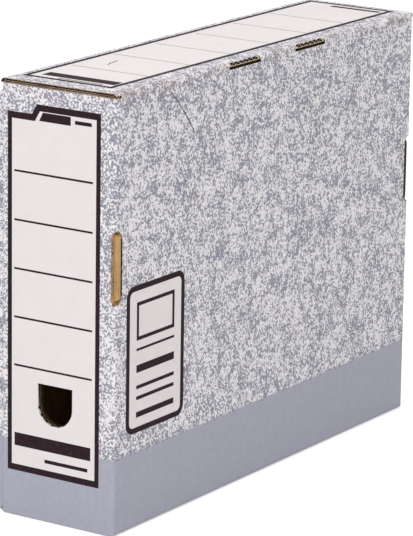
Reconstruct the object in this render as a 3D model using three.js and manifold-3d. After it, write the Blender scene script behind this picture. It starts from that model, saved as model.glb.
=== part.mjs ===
// A tall narrow box file of corrugated board, millimetres, +Z up.
// The origin is the middle of the footprint. The spine faces -Y and the large plain side faces +X.
// One die-cut sheet makes the tray: large side, single bottom, and three rolled-over double walls
// (top, spine and rear). The lid is the other large side. It folds on the bottom's long edge and
// tucks in under the top wall.
import * as THREE from "three";
import { mergeVertices } from "three/addons/utils/BufferGeometryUtils.js";
import Module from "manifold-3d";

// Outside sizes
const WIDTH = 85;
const DEPTH = 330;
const HEIGHT = 264;

// Board and clearances
const BOARD = 2.7;
const PLY_GAP = 0.3;
const FOLD_STEPS = 4;

// Liners and fluted paper, as they show where the board is cut
const LINER = 0.4;
const FLUTE_PAPER = 0.4;
const FLUTE_PITCH = 4.9;
const CUT_DEPTH = 1.5;

// Corner of the spine and rear panels beside the rolled edge
const PANEL_CORNER_R = 2.5;

// Slots that the die cuts across the long top fold. Each shows the cut edge of the top layer, with
// a crushed tab of the rolled layer pushed through the gap under it.
const TOP_SLOT_LENGTH = 34;
const TOP_SLOT_PITCH = 73;
const TOP_SLOT_MIDDLE = 4;
const TOP_SLOT_GAP = 1.5;
const TOP_SLOT_SETBACK = 0.9;
const CRUSHED_TAB = 0.9;
const TAB_END_CLEARANCE = 1;
const TAB_RECESS = 0.4;

// Corner slots, one on each upright fold, with the tabs of the spine and rear walls in them
const CORNER_SLOT_BOTTOM = 139.5;
const CORNER_SLOT_HEIGHT = 44;
const CORNER_SLOT_ON_WALL = 3.2;
const CORNER_SLOT_ON_SIDE = 6.6;
const CORNER_TAB_CLEARANCE = 2.1;

// Thumb hole through both layers of the spine
const THUMB_WIDTH = 25;
const THUMB_TOP = 84.5;
const THUMB_DEPTH = 25.1;

// Lid
const HINGE_R = 1.25;
const HINGE_GAP = 0.3;
const LID_END_INSET = 2.5;
const TUCK_DEPTH = 25;
const TUCK_CLEARANCE = 2;
const TUCK_END_INSET = 2.8;
const TUCK_CORNER_R = 12;

// Places worked out from the sizes above
const sideX = WIDTH / 2;
const sideInsideX = sideX - BOARD;
const lidX = -WIDTH / 2;
const frontY = -DEPTH / 2;
const rollR = BOARD + PLY_GAP / 2;
const rollX = lidX + BOARD + PLY_GAP;
const innerEndX = sideInsideX - PLY_GAP;
const wallInsideY = -frontY - BOARD - PLY_GAP;
const rolledInsideY = wallInsideY - BOARD;
const topInsideZ = HEIGHT - 2 * BOARD - PLY_GAP;
const wallTopZ = HEIGHT - BOARD - PLY_GAP;
const rolledBottomZ = BOARD + PLY_GAP;
const rolledTopZ = topInsideZ - PLY_GAP;
const topUndersideZ = HEIGHT - BOARD;
const creaseStripX = lidX + 2 * BOARD;
const creaseIn = HINGE_R * (1 - Math.SQRT1_2);
const miterShift = HINGE_GAP * Math.SQRT1_2;
const tuckTopZ = topInsideZ - TUCK_CLEARANCE;
const BEYOND = 5;

const wasm = await Module();
wasm.setup();

// Frames that stand an extruded outline on one of the three planes
const ALONG_Z = new THREE.Matrix4();
const ALONG_Y = new THREE.Matrix4().makeBasis(
  new THREE.Vector3(1, 0, 0),
  new THREE.Vector3(0, 0, 1),
  new THREE.Vector3(0, -1, 0),
);
const ALONG_X = new THREE.Matrix4().makeBasis(
  new THREE.Vector3(0, 1, 0),
  new THREE.Vector3(0, 0, 1),
  new THREE.Vector3(1, 0, 0),
);

// A closed geometry as a solid that can be joined and cut.
function solid(geometry) {
  const bare = geometry.clone();
  bare.deleteAttribute("normal");
  bare.deleteAttribute("uv");
  const merged = mergeVertices(bare, 1e-4);
  return new wasm.Manifold(
    new wasm.Mesh({
      numProp: 3,
      vertProperties: new Float32Array(merged.attributes.position.array),
      triVerts: new Uint32Array(merged.index.array),
    }),
  );
}

// A solid back as a geometry with flat faces.
function geometryOf(body) {
  const mesh = body.getMesh();
  const geometry = new THREE.BufferGeometry();
  geometry.setAttribute("position", new THREE.BufferAttribute(mesh.vertProperties, 3));
  geometry.setIndex(new THREE.BufferAttribute(mesh.triVerts, 1));
  const flat = geometry.toNonIndexed();
  flat.computeVertexNormals();
  return flat;
}

// An outline pushed through from low to high along the axis of its plane.
function pushed(shape, plane, low, high) {
  const geometry = new THREE.ExtrudeGeometry(shape, {
    depth: high - low,
    bevelEnabled: false,
    curveSegments: FOLD_STEPS,
  });
  const start = plane === ALONG_Y ? -high : low;
  geometry.translate(0, 0, start);
  geometry.applyMatrix4(plane);
  return solid(geometry);
}

function rectangle(u0, v0, u1, v1) {
  const shape = new THREE.Shape();
  shape.moveTo(u0, v0);
  shape.lineTo(u1, v0);
  shape.lineTo(u1, v1);
  shape.lineTo(u0, v1);
  shape.closePath();
  return shape;
}

function block(x0, y0, z0, x1, y1, z1) {
  return pushed(rectangle(x0, y0, x1, y1), ALONG_Z, z0, z1);
}

// A slot with round ends that stands upright.
function uprightSlot(middle, low, halfWidth, height) {
  const shape = new THREE.Shape();
  shape.absarc(middle, low + halfWidth, halfWidth, Math.PI, 2 * Math.PI, false);
  shape.absarc(middle, low + height - halfWidth, halfWidth, 0, Math.PI, false);
  shape.closePath();
  return shape;
}

// The edge-on outline of a sheet. The path runs along the printed face, and the board lies on its
// left. Every fold turns left, with the given radius on the inside of the fold.
function sheetOutline(start, headingDegrees, steps) {
  let at = new THREE.Vector2(start[0], start[1]);
  let heading = THREE.MathUtils.degToRad(headingDegrees);
  const printed = [at.clone()];
  const inside = [];
  const left = (angle) => new THREE.Vector2(-Math.sin(angle), Math.cos(angle));
  inside.push(at.clone().addScaledVector(left(heading), BOARD));
  for (const step of steps) {
    if (step.run !== undefined) {
      const along = new THREE.Vector2(Math.cos(heading), Math.sin(heading));
      at = at.clone().addScaledVector(along, step.run);
      printed.push(at.clone());
      inside.push(at.clone().addScaledVector(left(heading), BOARD));
      continue;
    }
    const turn = THREE.MathUtils.degToRad(step.fold);
    const centre = at.clone().addScaledVector(left(heading), BOARD + step.inner);
    const count = Math.round((2 * FOLD_STEPS * step.fold) / 90);
    for (let i = 1; i <= count; i++) {
      const out = left(heading + (turn * i) / count).negate();
      printed.push(centre.clone().addScaledVector(out, BOARD + step.inner));
      if (step.inner > 0) inside.push(centre.clone().addScaledVector(out, step.inner));
    }
    heading += turn;
    at = printed[printed.length - 1].clone();
  }
  return new THREE.Shape([...printed, ...inside.reverse()]);
}

// The sheet seen from the front: bottom, large side, top and the layer rolled back under the top.
function crosswiseWrap() {
  const outline = sheetOutline([creaseStripX, 0], 0, [
    { run: sideInsideX - creaseStripX },
    { fold: 90, inner: 0 },
    { run: HEIGHT - 2 * BOARD },
    { fold: 90, inner: 0 },
    { run: sideInsideX - rollX - rollR },
    { fold: 180, inner: PLY_GAP / 2 },
    { run: innerEndX - rollX - rollR },
  ]);
  return pushed(outline, ALONG_Y, frontY, -frontY);
}

// The same sheet seen from above: spine, large side and rear, each end rolled back inside.
function lengthwiseWrap() {
  const wallRun = sideInsideX - rollX - rollR;
  const rolledRun = innerEndX - rollX - rollR;
  const outline = sheetOutline([innerEndX, -rolledInsideY], 180, [
    { run: rolledRun },
    { fold: 180, inner: PLY_GAP / 2 },
    { run: wallRun },
    { fold: 90, inner: 0 },
    { run: DEPTH - 2 * BOARD },
    { fold: 90, inner: 0 },
    { run: wallRun },
    { fold: 180, inner: PLY_GAP / 2 },
    { run: rolledRun },
  ]);
  return pushed(outline, ALONG_Z, 0, wallTopZ);
}

// The bottom's long edge at the lid crease: a mitre with a rounded outside.
function bottomCreaseEdge() {
  const shape = new THREE.Shape();
  const foot = lidX + creaseIn + miterShift;
  shape.moveTo(creaseStripX + HINGE_R, 0);
  shape.lineTo(creaseStripX + HINGE_R, BOARD);
  shape.lineTo(lidX + BOARD + miterShift, BOARD);
  shape.lineTo(foot, creaseIn);
  shape.lineTo(lidX + HINGE_R, 0);
  shape.closePath();
  return pushed(shape, ALONG_Y, -wallInsideY, wallInsideY);
}

// What is left outside a quarter-round corner at (u, v), for rounding an edge off.
// signU and signV point from the corner into the piece.
function cornerWaste(u, v, signU, signV, radius) {
  const shape = new THREE.Shape();
  shape.moveTo(u + signU * radius, v);
  const count = 2 * FOLD_STEPS;
  for (let i = 1; i <= count; i++) {
    const angle = (i / count) * (Math.PI / 2);
    const du = radius - radius * Math.sin(angle);
    const dv = radius - radius * Math.cos(angle);
    shape.lineTo(u + signU * du, v + signV * dv);
  }
  shape.lineTo(u - signU * BEYOND, v + signV * radius);
  shape.lineTo(u - signU * BEYOND, v - signV * BEYOND);
  shape.lineTo(u + signU * radius, v - signV * BEYOND);
  shape.closePath();
  return shape;
}

// One end of the crosswise wrap is cut away where the spine or rear wall stands.
function endNotch(direction) {
  const outer = direction * (DEPTH / 2 + BEYOND);
  const inner = direction * wallInsideY;
  const low = Math.min(outer, inner);
  const high = Math.max(outer, inner);
  return block(lidX - BEYOND, low, -BEYOND, sideX + BEYOND, high, wallTopZ + PLY_GAP / 2);
}

// The slot that the die cuts across an upright fold: it runs round from the wall to the side.
function cornerSlot(direction) {
  const halfWidth = (CORNER_SLOT_ON_WALL + CORNER_SLOT_ON_SIDE) / 2;
  const middle = halfWidth - CORNER_SLOT_ON_WALL;
  const onSide = uprightSlot(
    direction * (DEPTH / 2 - middle),
    CORNER_SLOT_BOTTOM,
    halfWidth,
    CORNER_SLOT_HEIGHT,
  );
  const onWall = uprightSlot(sideX + middle, CORNER_SLOT_BOTTOM, halfWidth, CORNER_SLOT_HEIGHT);
  const throughSide = pushed(onSide, ALONG_X, innerEndX + PLY_GAP, sideX + BEYOND);
  const wallNear = DEPTH / 2 - BOARD - PLY_GAP / 2;
  const wallFar = DEPTH / 2 + BEYOND;
  const throughWall =
    direction < 0
      ? pushed(onWall, ALONG_Y, -wallFar, -wallNear)
      : pushed(onWall, ALONG_Y, wallNear, wallFar);
  return throughSide.add(throughWall);
}

// The tab on the rolled layer of the spine or rear wall that fills most of its corner slot.
function cornerTab(direction) {
  const halfThick = BOARD / 2;
  const middleY = direction * (rolledInsideY + halfThick);
  const low = CORNER_SLOT_BOTTOM + CORNER_TAB_CLEARANCE;
  const high = CORNER_SLOT_BOTTOM + CORNER_SLOT_HEIGHT - CORNER_TAB_CLEARANCE;
  const tip = sideX - TAB_RECESS;
  const outline = new THREE.Shape();
  outline.moveTo(innerEndX - BOARD, low);
  outline.lineTo(tip - BOARD, low);
  outline.quadraticCurveTo(tip, low, tip, low + BOARD);
  outline.lineTo(tip, high - BOARD);
  outline.quadraticCurveTo(tip, high, tip - BOARD, high);
  outline.lineTo(innerEndX - BOARD, high);
  outline.closePath();
  return pushed(outline, ALONG_Y, middleY - halfThick, middleY + halfThick);
}

// Thumb hole: flat top, round below.
function thumbHole() {
  const r = THUMB_WIDTH / 2;
  const shape = new THREE.Shape();
  shape.moveTo(r, THUMB_TOP);
  shape.lineTo(-r, THUMB_TOP);
  shape.absarc(0, THUMB_TOP - THUMB_DEPTH + r, r, Math.PI, 2 * Math.PI, false);
  shape.closePath();
  return pushed(shape, ALONG_Y, frontY - BEYOND, -rolledInsideY + BOARD);
}

// One slot across the long top fold, and the crushed tab in it.
function topSlot(middleY) {
  const half = TOP_SLOT_LENGTH / 2;
  const slotLowZ = topUndersideZ - TOP_SLOT_GAP;
  const tabHighZ = topUndersideZ - PLY_GAP;
  const through = block(
    innerEndX + PLY_GAP,
    middleY - half,
    slotLowZ,
    sideX + BEYOND,
    middleY + half,
    topUndersideZ,
  );
  const setback = block(
    sideX - TOP_SLOT_SETBACK,
    middleY - half,
    slotLowZ,
    sideX + BEYOND,
    middleY + half,
    HEIGHT + BEYOND,
  );
  const tab = block(
    innerEndX - BOARD,
    middleY - half + TAB_END_CLEARANCE,
    tabHighZ - CRUSHED_TAB,
    sideX - TOP_SLOT_SETBACK - TAB_RECESS,
    middleY + half - TAB_END_CLEARANCE,
    tabHighZ,
  );
  return { cut: through.add(setback), tab };
}

// Hollows of the flutes where the board is cut across them. The cut faces +X, at faceX.
function fluteHollows(fromY, toY, lowZ, faceX) {
  const low = lowZ + LINER;
  const high = lowZ + BOARD - LINER;
  const wide = 0.42 * FLUTE_PITCH;
  const narrow = 0.1 * FLUTE_PITCH;
  const halves = Math.floor((2 * (toY - fromY)) / FLUTE_PITCH) - 1;
  const start = (fromY + toY - (halves * FLUTE_PITCH) / 2) / 2;
  const shapes = [];
  for (let i = 0; i < halves; i++) {
    const middle = start + ((i + 0.5) * FLUTE_PITCH) / 2;
    const open = i % 2 ? low : high;
    const closed = i % 2 ? high - FLUTE_PAPER : low + FLUTE_PAPER;
    const shape = new THREE.Shape();
    shape.moveTo(middle - wide, open);
    shape.lineTo(middle - narrow, closed);
    shape.lineTo(middle + narrow, closed);
    shape.lineTo(middle + wide, open);
    shape.closePath();
    shapes.push(shape);
  }
  return pushed(shapes, ALONG_X, faceX - CUT_DEPTH, faceX + BEYOND);
}

// Where the top is cut along its flutes, at the front and rear, the hollow is one channel.
function topEndChannel(direction) {
  const inner = direction * (DEPTH / 2 - CUT_DEPTH);
  const outer = direction * (DEPTH / 2 + BEYOND);
  return block(
    rollX + rollR,
    Math.min(inner, outer),
    topUndersideZ + LINER,
    sideInsideX,
    Math.max(inner, outer),
    HEIGHT - LINER,
  );
}

// The same channel up each end of the lid.
function lidEndChannel(direction) {
  const lidEnd = DEPTH / 2 - LID_END_INSET;
  const inner = direction * (lidEnd - CUT_DEPTH);
  const outer = direction * (lidEnd + BEYOND);
  return block(
    lidX + LINER,
    Math.min(inner, outer),
    2 * BOARD,
    lidX + BOARD - LINER,
    Math.max(inner, outer),
    tuckTopZ - 2 * BOARD,
  );
}

// The rolled layers stop short of the bottom and of the top wall's own rolled layer.
function rolledLayerTrim(direction) {
  const near = direction * (wallInsideY + PLY_GAP / 2);
  const far = direction * (rolledInsideY - PLY_GAP);
  const low = Math.min(near, far);
  const high = Math.max(near, far);
  const foot = block(lidX - BEYOND, low, -BEYOND, sideInsideX, high, rolledBottomZ);
  const head = block(lidX - BEYOND, low, rolledTopZ, sideInsideX, high, HEIGHT);
  return foot.add(head);
}

function makeTray() {
  let across = crosswiseWrap();
  let along = lengthwiseWrap();
  for (const direction of [-1, 1]) {
    across = across.subtract(endNotch(direction));
    along = along.subtract(rolledLayerTrim(direction));
  }
  let tray = across.add(along).add(bottomCreaseEdge());
  for (const direction of [-1, 1]) {
    tray = tray.subtract(cornerSlot(direction)).add(cornerTab(direction));
    const wallLow = direction < 0 ? frontY - BEYOND : wallInsideY + PLY_GAP / 2;
    const wallHigh = direction < 0 ? -wallInsideY - PLY_GAP / 2 : -frontY + BEYOND;
    const footCorner = cornerWaste(rollX, 0, 1, 1, PANEL_CORNER_R);
    const headCorner = cornerWaste(rollX, wallTopZ, 1, -1, PANEL_CORNER_R);
    tray = tray.subtract(pushed(footCorner, ALONG_Y, wallLow, wallHigh));
    tray = tray.subtract(
      pushed(headCorner, ALONG_Y, wallLow, wallHigh).subtract(
        block(lidX - BEYOND, frontY - BEYOND, wallTopZ + PLY_GAP / 2, 0, -frontY + BEYOND, HEIGHT + BEYOND),
      ),
    );
  }
  tray = tray.subtract(
    pushed(cornerWaste(sideX, 0, -1, 1, BOARD), ALONG_Y, frontY - BEYOND, -frontY + BEYOND),
  );
  for (const side of [-1, 1]) {
    const middle = TOP_SLOT_MIDDLE + (side * TOP_SLOT_PITCH) / 2;
    const { cut, tab } = topSlot(middle);
    tray = tray.subtract(cut).add(tab);
    const half = TOP_SLOT_LENGTH / 2;
    const faceX = sideX - TOP_SLOT_SETBACK;
    tray = tray.subtract(fluteHollows(middle - half, middle + half, topUndersideZ, faceX));
    tray = tray.subtract(topEndChannel(side));
  }
  return tray.subtract(thumbHole());
}

// The lid panel and its tuck flap, one folded piece of board.
function makeLid() {
  const lidEnd = DEPTH / 2 - LID_END_INSET;
  const panel = new THREE.Shape();
  const insideX = lidX + BOARD;
  panel.moveTo(lidX, HINGE_R);
  panel.lineTo(lidX + creaseIn, creaseIn + miterShift);
  panel.lineTo(insideX, BOARD + miterShift);
  panel.lineTo(insideX, tuckTopZ - BOARD);
  panel.lineTo(insideX + TUCK_DEPTH - BOARD, tuckTopZ - BOARD);
  panel.lineTo(insideX + TUCK_DEPTH - BOARD, tuckTopZ);
  panel.lineTo(insideX, tuckTopZ);
  panel.absarc(insideX, tuckTopZ - BOARD, BOARD, Math.PI / 2, Math.PI, false);
  panel.closePath();
  const folded = pushed(panel, ALONG_Y, -lidEnd, lidEnd);
  let lid = folded;
  for (const direction of [-1, 1]) {
    lid = lid.subtract(tuckWaste(direction)).subtract(lidEndChannel(direction));
  }
  const straightEnd = rolledInsideY - TUCK_END_INSET - TUCK_CORNER_R;
  return lid.subtract(fluteHollows(-straightEnd, straightEnd, tuckTopZ - BOARD, lidX + TUCK_DEPTH));
}

// What is cut from one end of the tuck flap, which is shorter than the lid and round cornered.
function tuckWaste(direction) {
  const flapEnd = rolledInsideY - TUCK_END_INSET;
  const tipX = lidX + TUCK_DEPTH;
  const shape = new THREE.Shape();
  const at = (x, y) => [x, direction * y];
  shape.moveTo(...at(lidX + BOARD, flapEnd));
  shape.lineTo(...at(tipX - TUCK_CORNER_R, flapEnd));
  for (let i = 1; i <= 2 * FOLD_STEPS; i++) {
    const angle = (i / (2 * FOLD_STEPS)) * (Math.PI / 2);
    const x = tipX - TUCK_CORNER_R + TUCK_CORNER_R * Math.sin(angle);
    const y = flapEnd - TUCK_CORNER_R + TUCK_CORNER_R * Math.cos(angle);
    shape.lineTo(...at(x, y));
  }
  shape.lineTo(...at(tipX + BEYOND, flapEnd - TUCK_CORNER_R));
  shape.lineTo(...at(tipX + BEYOND, DEPTH / 2));
  shape.lineTo(...at(lidX + BOARD, DEPTH / 2));
  shape.closePath();
  return pushed(shape, ALONG_Z, tuckTopZ - 2 * BOARD, tuckTopZ + BEYOND);
}

const printedBoard = new THREE.MeshStandardMaterial({
  name: "printed_board",
  color: 0xc4c3c9,
  roughness: 0.85,
  metalness: 0,
});

const group = new THREE.Group();
group.name = "box_file";

const tray = new THREE.Mesh(geometryOf(makeTray()), printedBoard.clone());
tray.name = "tray";
group.add(tray);

const lid = new THREE.Mesh(geometryOf(makeLid()), printedBoard.clone());
lid.name = "lid";
group.add(lid);

export default group;
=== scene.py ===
"""A tall narrow box file of speckled corrugated board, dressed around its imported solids."""
import math
import random

import bmesh
import bpy
from bpy.props import FloatProperty, FloatVectorProperty, IntProperty, PointerProperty
from mathutils import Matrix, Vector
from mathutils.geometry import tessellate_polygon


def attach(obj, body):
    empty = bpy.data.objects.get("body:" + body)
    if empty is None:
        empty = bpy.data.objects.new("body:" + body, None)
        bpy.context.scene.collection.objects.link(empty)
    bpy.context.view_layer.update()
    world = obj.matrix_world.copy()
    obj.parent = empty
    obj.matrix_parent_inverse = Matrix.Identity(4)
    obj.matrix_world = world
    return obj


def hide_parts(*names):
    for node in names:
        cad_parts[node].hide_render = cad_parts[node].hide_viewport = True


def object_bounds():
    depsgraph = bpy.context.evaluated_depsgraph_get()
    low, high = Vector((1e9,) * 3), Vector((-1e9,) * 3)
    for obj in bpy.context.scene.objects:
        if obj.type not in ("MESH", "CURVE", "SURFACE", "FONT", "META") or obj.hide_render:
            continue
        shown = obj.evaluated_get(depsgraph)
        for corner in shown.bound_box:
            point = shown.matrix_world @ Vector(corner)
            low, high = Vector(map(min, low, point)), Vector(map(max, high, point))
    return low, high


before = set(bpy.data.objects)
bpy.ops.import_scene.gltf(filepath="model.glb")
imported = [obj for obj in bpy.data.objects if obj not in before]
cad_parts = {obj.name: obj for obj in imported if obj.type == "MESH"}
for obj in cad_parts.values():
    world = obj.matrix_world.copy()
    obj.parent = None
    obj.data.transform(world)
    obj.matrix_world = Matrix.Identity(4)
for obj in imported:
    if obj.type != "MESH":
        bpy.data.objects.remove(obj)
CAD_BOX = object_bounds()

bl_info = {
    "name": "Corrugated Box File",
    "version": (1, 0, 0),
    "blender": (4, 5, 0),
    "location": "View3D > Sidebar > Box File",
    "description": "Dresses a box file in speckled board, raw flutes and printed label panels",
    "category": "Add Mesh",
}

MM = 0.001
TRAY = "tray"
LID = "lid"

# Places of the board's layers, from the solids
LOW = Vector(CAD_BOX[0])
HIGH = Vector(CAD_BOX[1])
SIDE_X = HIGH.x
LID_X = LOW.x
FRONT_Y = LOW.y
REAR_Y = HIGH.y
TOP_Z = HIGH.z
BOARD = 2.7 * MM
PLY_GAP = 0.3 * MM
ROLL_X = LID_X + BOARD + PLY_GAP
ROLL_AXIS_X = ROLL_X + BOARD + PLY_GAP / 2
WALL_TOP_Z = TOP_Z - BOARD - PLY_GAP
ROLLED_Y = REAR_Y - 2 * BOARD - PLY_GAP
TOP_INSIDE_Z = TOP_Z - 2 * BOARD - PLY_GAP

# Cuts and slots, as in the solids
LINER = 0.4 * MM
CUT_DEPTH = 1.5 * MM
CORNER_SLOT_LOW = 139.5 * MM
CORNER_SLOT_HIGH = 183.5 * MM
CORNER_SLOT_ON_SIDE = 6.6 * MM
CORNER_SLOT_ON_WALL = 3.2 * MM
LID_END_INSET = 2.5 * MM
TUCK_DEPTH = 25 * MM
TOP_SLOT_LENGTH = 34 * MM
TOP_SLOT_PITCH = 73 * MM
TOP_SLOT_MIDDLE = 4 * MM
TOP_SLOT_SETBACK = 0.9 * MM
THUMB_HALF = 12.5 * MM
THUMB_TOP = 84.5 * MM
THUMB_CENTRE = 71.9 * MM
THUMB_LOW = THUMB_CENTRE - THUMB_HALF
THUMB_STEPS = 24

# Limits for telling faces apart, for smooth edges and for welding
NEAR = 0.06 * MM
FLAT = 0.97
BENT = 0.03
UPRIGHT = 0.1
SMOOTH_ANGLE = math.radians(32)
FLAT_ANGLE = math.radians(0.5)
WELD = 0.001 * MM

# Thin layers of print and paper on the board, and how deep their feet are sunk
SUNK = -0.04 * MM
GROUND_HIGH = 0.03 * MM
INK_HIGH = 0.06 * MM
EDGE_HIGH = 0.07 * MM
RIM_HIGH = 0.2 * MM
BRICK = ((0, 1, 2, 3), (7, 6, 5, 4), (0, 4, 5, 1), (1, 5, 6, 2), (2, 6, 7, 3), (3, 7, 4, 0))

# The speckle's three grains, as noise scale per metre, detail and roughness, with two shares
FINE_GRAIN = (690, 3.0, 0.64)
CLUMP_GRAIN = (170, 2.0, 0.5)
CLOUD_GRAIN = (45, 1.0, 0.5)
CLUMP_SHARE = 0.36
CLOUD_SHARE = 0.12
FLECK_FROM = 0.470
FLECK_TO = 0.538
FLECK_COVER = 0.95
PAPER_TOOTH = (1500, 2.0)

# Relief of the printed board: share of the ribs and of the worn fold's dents, and its depth
RIB_SHARE = 0.35
DENT_SHARE = 16
PRINT_RELIEF = 0.05 * MM

# The foot's ragged upper edge, and the worn fold and scored line below the top
BAND_WANDER = 7 * MM
BAND_BLUR = 0.5 * MM
FOLD_WORN = 2 * MM
FOLD_CLEAN = 6.5 * MM
SCORE_DROP = 4.2 * MM
SCORE_CORE = 0.25 * MM
SCORE_EDGE = 0.75 * MM
RUBBED_BROWN = (0.36, 0.235, 0.155)
CRACKED_BROWN = (0.36, 0.27, 0.21)
WEAR_COVER = 0.6

# The spine label's tab, the ends of its rules and its plain bars
TAB_STEP = 17.3 * MM
TAB_SLOPE = 3.6 * MM
TAB_BEND = 0.55
RULE_FROM_LEFT = 4.7 * MM
RULE_FROM_RIGHT = 5.3 * MM
TAB_BAR_DROP = 5.7 * MM
TAB_BAR_HIGH = 5.2 * MM
TAB_BAR_START = 1.6 * MM
TAB_BAR_SLANT = 2.6 * MM
TAB_BAR_END = 24 * MM
SHORT_BAR_START = 27 * MM
SHORT_BAR_RISE = 1.2 * MM
SHORT_BAR_HIGH = 2.2 * MM
SHORT_BAR_FROM_RIGHT = 6.4 * MM
# Each bar at the label's foot: from the left, lower edge, from the right, upper edge
FOOT_BARS = (
    (5 * MM, 43.5 * MM, 6 * MM, 51.5 * MM),
    (27 * MM, 36.2 * MM, 8 * MM, 38.4 * MM),
)
HOLE_SPARE = 0.12 * MM

# The sign's field: its margin, its frame, and each plain bar's height share and thickness
SIGN_MARGIN = 7 * MM
SIGN_FRAME_DROP = 30 * MM
SIGN_FRAME_LINE = 2.2 * MM
SIGN_LEAST_RADIUS = 0.8 * MM
SIGN_BARS = (
    (0.07, 3.4 * MM),
    (0.20, 2.2 * MM),
    (0.28, 2.2 * MM),
    (0.40, 4.6 * MM),
    (0.56, 1.5 * MM),
)

# The top label: its border, its cross lines and its plain bars
TOP_BORDER = 3.2 * MM
TOP_RULES = 6
TOP_RULE_START = 41.1 * MM
TOP_RULE_PITCH = 43.2 * MM
TOP_RULE_WIDE = 1.0 * MM
TOP_RULE_FROM_LEFT = 5.4 * MM
TOP_RULE_FROM_RIGHT = 4 * MM
# Each front bar: from the left, from the front, from the right, and its far edge
FRONT_BARS = (
    (8 * MM, 8 * MM, 4 * MM, 17 * MM),
    (22 * MM, 4.4 * MM, 10 * MM, 5.8 * MM),
)
# The rear bar: from the left, from the rear, from the right, and its far edge
REAR_BAR = (22 * MM, 11 * MM, 5 * MM, 7 * MM)
# A short pen stroke across the label, from the rolled edge and the front, in millimetres
PEN_STROKE = ((27.6, 67), (28.2, 67.4), (26.4, 73), (25.6, 81), (24.6, 81), (25.6, 73))

# Pressed liners at the lid's cut ends
PRESSED_FROM = 3.2 * MM
PRESSED_BELOW_TOP = 10 * MM
PRESSED_INSET = 0.05 * MM
PRESSED_STEPS = 60

# Rounding of the corner slots' ends, and the cut flutes at the near slot's foot, drawn as teeth of
# painted shade
SLOT_END_WIDE = 3.0 * MM
SLOT_END_HIGH = 4.6 * MM
SLOT_END_LAP = 0.1 * MM
SLOT_END_STEPS = 8
FOOT_TEETH = (0.5 * MM, 1.5 * MM)
TOOTH_WIDE = 0.9 * MM
TOOTH_TIP = 0.4 * MM
TOOTH_HIGH = 1.5 * MM

# The scratch on the large side: where it starts, how far it runs and falls, and its bow
SCRATCH_STEPS = 14
SCRATCH_START = 52.3 * MM
SCRATCH_TOP = 257.5 * MM
SCRATCH_RUN = 27.5 * MM
SCRATCH_FALL = 30 * MM
SCRATCH_BOW = 2.2 * MM
SCRATCH_WIDE = 0.8 * MM

# The opened flute at the top's near corner, and the torn spot round the fold from it, whose dark discs
# and strip are painted shade inside the flutes
LOOP_SHARE = 0.55
LOOP_RADII = (1.15 * MM, 0.8 * MM)
LOOP_STEPS = 20
TEAR_Z = 261.9 * MM
TEAR_START = 0.1 * MM
TEAR_PALE = (-0.7 * MM, 0.0, 3.6 * MM)
TEAR_DARK = (0.0, 0.5 * MM, 3.4 * MM)
TEAR_SPOT = 3.7 * MM
SPOT_RADII = (1.3 * MM, 0.85 * MM)
SPOT_STEPS = 12

# Torn paper along the raw edges: its steps, wander and width, and its depths into the board
FRINGE_STEP = 0.7 * MM
FRINGE_WANDER = 0.36 * MM
FRINGE_WIDE = 0.3 * MM
FRINGE_DEPTHS = (0.12 * MM, BOARD * 0.52)

# Brown stain on the raw edges, from where it starts to where it is full, and its colour
STAIN_START = REAR_Y - 4 * MM
STAIN_FULL = REAR_Y - 3 * MM
STAIN_BROWN = (0.29, 0.195, 0.135)

# The thumb hole's rim: clean above, torn round its lower half
RIM_INSET = 0.02 * MM
RIM_CLEAN = 0.3 * MM
RIM_TORN = (0.5 * MM, 1.3 * MM)
RIM_RISE = 2 * MM
RIM_SEED = 5

# The view's aim, from the box's middle, the camera's sensor and reach, and the floor
AIM_RIGHT = -3.781 * MM
AIM_UP = -9.681 * MM
SENSOR_MM = 36
VIEW_REACH = 50
FLOOR_HALF = 6.0
FLOOR_DROP = 0.2 * MM
FLOOR_WHITE = (0.93, 0.93, 0.93, 1)
FLOOR_LIFT = 0.35
WHITE = (1, 1, 1, 1)

# Each lamp: its place, its size and its share of the key light, in metres
LAMPS = (
    ("key_lamp", (0.2, -1.7, 1.32), 1.2, 1),
    ("side_lamp", (1.5, -0.9, 1.2), 1.2, 0.39),
    ("top_lamp", (-0.1, 0.0, 2.2), 1.4, 1.15),
)


def length_of(name, description, default):
    """A size that the panel shows."""
    return FloatProperty(name=name, description=description, default=default, unit="LENGTH")


def colour_of(name, description, default):
    """A colour that the panel shows."""
    return FloatVectorProperty(
        name=name, description=description, default=default, subtype="COLOR", size=3
    )


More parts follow.
